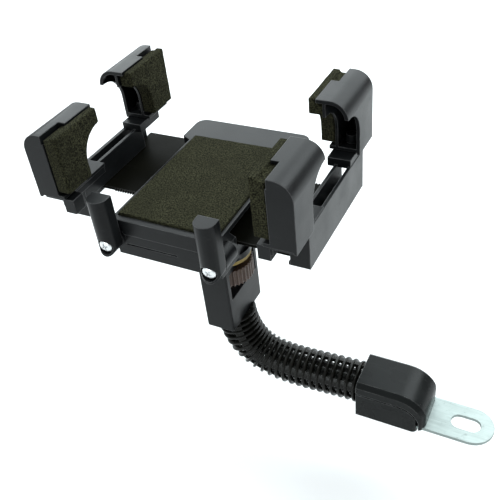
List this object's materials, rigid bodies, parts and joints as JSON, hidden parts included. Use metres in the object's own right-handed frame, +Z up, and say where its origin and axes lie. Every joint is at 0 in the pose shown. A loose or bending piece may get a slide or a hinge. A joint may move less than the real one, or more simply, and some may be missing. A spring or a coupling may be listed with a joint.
{
  "type": "phone mount",
  "caption": "Adjustable phone cradle with sprung side claws and turning feet, on a swivel head and a ribbed flexible neck ending in a slotted bolt-on tab.",
  "frame": {"origin": "middle of the tab's slot, on the tab's underside", "axes": "+Z up, along the axis of the bolt or mirror stem through the slot; +X from the housing out to the tab's rounded end; +Y across, toward the cradle's back end"},
  "size_m": [0.248, 0.1257, 0.1651],
  "materials": {
    "black_abs": "satin moulded ABS",
    "black_nylon": "smooth moulded nylon",
    "foam": "fine-celled foam pad",
    "sleeve_vinyl": "ribbed soft vinyl sleeve",
    "plated_steel": "bright zinc plated",
    "fibre_washer": "brown fibre washer"
  },
  "bodies": {
    "base": {"slotted_tab": "plated_steel", "housing_upper": "black_abs", "housing_lower": "black_abs", "housing_screw_1": "plated_steel", "housing_screw_2": "plated_steel", "tab_screw_1": "plated_steel", "tab_screw_2": "plated_steel", "neck_sleeve_1": "sleeve_vinyl", "neck_core_1": "plated_steel"},
    "neck_2": {"neck_sleeve_2": "sleeve_vinyl", "neck_core_2": "plated_steel"},
    "neck_3": {"neck_sleeve_3": "sleeve_vinyl", "neck_core_3": "plated_steel"},
    "neck_4": {"neck_sleeve_4": "sleeve_vinyl", "neck_core_4": "plated_steel"},
    "head": {"neck_sleeve_5": "sleeve_vinyl", "neck_core_5": "plated_steel", "yoke": "black_abs", "neck_grub_screw": "plated_steel"},
    "lock_wheel_body": {"lock_wheel": "black_abs"},
    "cradle": {"swivel_stud": "plated_steel", "friction_washer": "fibre_washer", "lower_case": "black_abs", "top_cover": "black_abs", "pad_foam": "foam", "pinion_axle": "plated_steel", "opening_spring": "plated_steel", "release_spring": "plated_steel", "case_screw_1": "plated_steel", "case_screw_2": "plated_steel", "case_screw_3": "plated_steel", "case_screw_4": "plated_steel", "left_foot_screw": "plated_steel", "right_foot_screw": "plated_steel"},
    "left_arm": {"left_slide": "black_nylon", "left_crossbar": "black_abs", "left_slide_screw_1": "plated_steel", "left_slide_screw_2": "plated_steel", "left_front_claw": "black_abs", "left_front_foam": "foam", "left_front_claw_screw": "plated_steel", "left_back_claw": "black_abs", "left_back_foam": "foam", "left_back_claw_screw": "plated_steel"},
    "right_arm": {"right_slide": "black_nylon", "right_crossbar": "black_abs", "right_slide_screw_1": "plated_steel", "right_slide_screw_2": "plated_steel", "right_front_claw": "black_abs", "right_front_foam": "foam", "right_front_claw_screw": "plated_steel", "right_back_claw": "black_abs", "right_back_foam": "foam", "right_back_claw_screw": "plated_steel"},
    "pinion_body": {"pinion": "black_nylon"},
    "release_body": {"release_button": "black_nylon"},
    "left_foot_body": {"left_foot": "black_abs"},
    "right_foot_body": {"right_foot": "black_abs"}
  },
  "joints": [
    {"name": "neck_bend_1", "type": "hinge", "parent": "base", "child": "neck_2", "pos_m": [-0.07848, 0, 0.00969], "axis": [0, 1, 0], "range_deg": [-15, 15]},
    {"name": "neck_bend_2", "type": "hinge", "parent": "neck_2", "child": "neck_3", "pos_m": [-0.09836, 0, 0.00865], "axis": [-0.0028, 0, 1], "range_deg": [-15, 15]},
    {"name": "neck_bend_3", "type": "hinge", "parent": "neck_3", "child": "neck_4", "pos_m": [-0.11795, 0, 0.01149], "axis": [0, 1, 0], "range_deg": [-15, 15]},
    {"name": "neck_bend_4", "type": "hinge", "parent": "neck_4", "child": "head", "pos_m": [-0.13215, 0, 0.02472], "axis": [0.8992, 0, 0.4374], "range_deg": [-15, 15]},
    {"name": "lock_wheel_spin", "type": "hinge", "parent": "head", "child": "lock_wheel_body", "pos_m": [-0.137, 0, 0.07325], "axis": [0, 0, 1], "continuous": true},
    {"name": "cradle_swivel", "type": "hinge", "parent": "head", "child": "cradle", "pos_m": [-0.137, 0, 0.0865], "axis": [0, 0, 1], "continuous": true},
    {"name": "left_arm_slide", "type": "slide", "parent": "cradle", "child": "left_arm", "axis": [1, 0, 0], "range_m": [-0.002, 0.018]},
    {"name": "right_arm_slide", "type": "slide", "parent": "cradle", "child": "right_arm", "axis": [-1, 0, 0], "range_m": [-0.002, 0.018]},
    {"name": "pinion_spin", "type": "hinge", "parent": "cradle", "child": "pinion_body", "pos_m": [-0.157, 0.0325, 0.102], "axis": [0, 0, -1], "range_deg": [-17, 148]},
    {"name": "release_press", "type": "slide", "parent": "cradle", "child": "release_body", "axis": [0, -1, 0], "range_m": [0, 0.0025], "stiffness_N_per_m": 600, "springref_m": -0.001},
    {"name": "left_foot_turn", "type": "hinge", "parent": "cradle", "child": "left_foot_body", "pos_m": [-0.1883, -0.0287, 0.103], "axis": [0, 1, 0], "range_deg": [-90, 90]},
    {"name": "right_foot_turn", "type": "hinge", "parent": "cradle", "child": "right_foot_body", "pos_m": [-0.1257, -0.0287, 0.103], "axis": [0, 1, 0], "range_deg": [-90, 90]}
  ],
  "couplings": [
    {"joint": "neck_bend_3", "follows": "neck_bend_1", "ratio": 1},
    {"joint": "neck_bend_4", "follows": "neck_bend_2", "ratio": 1},
    {"joint": "right_arm_slide", "follows": "left_arm_slide", "ratio": 1},
    {"joint": "pinion_spin", "follows": "left_arm_slide", "rad_per_m": 142.86}
  ]
}
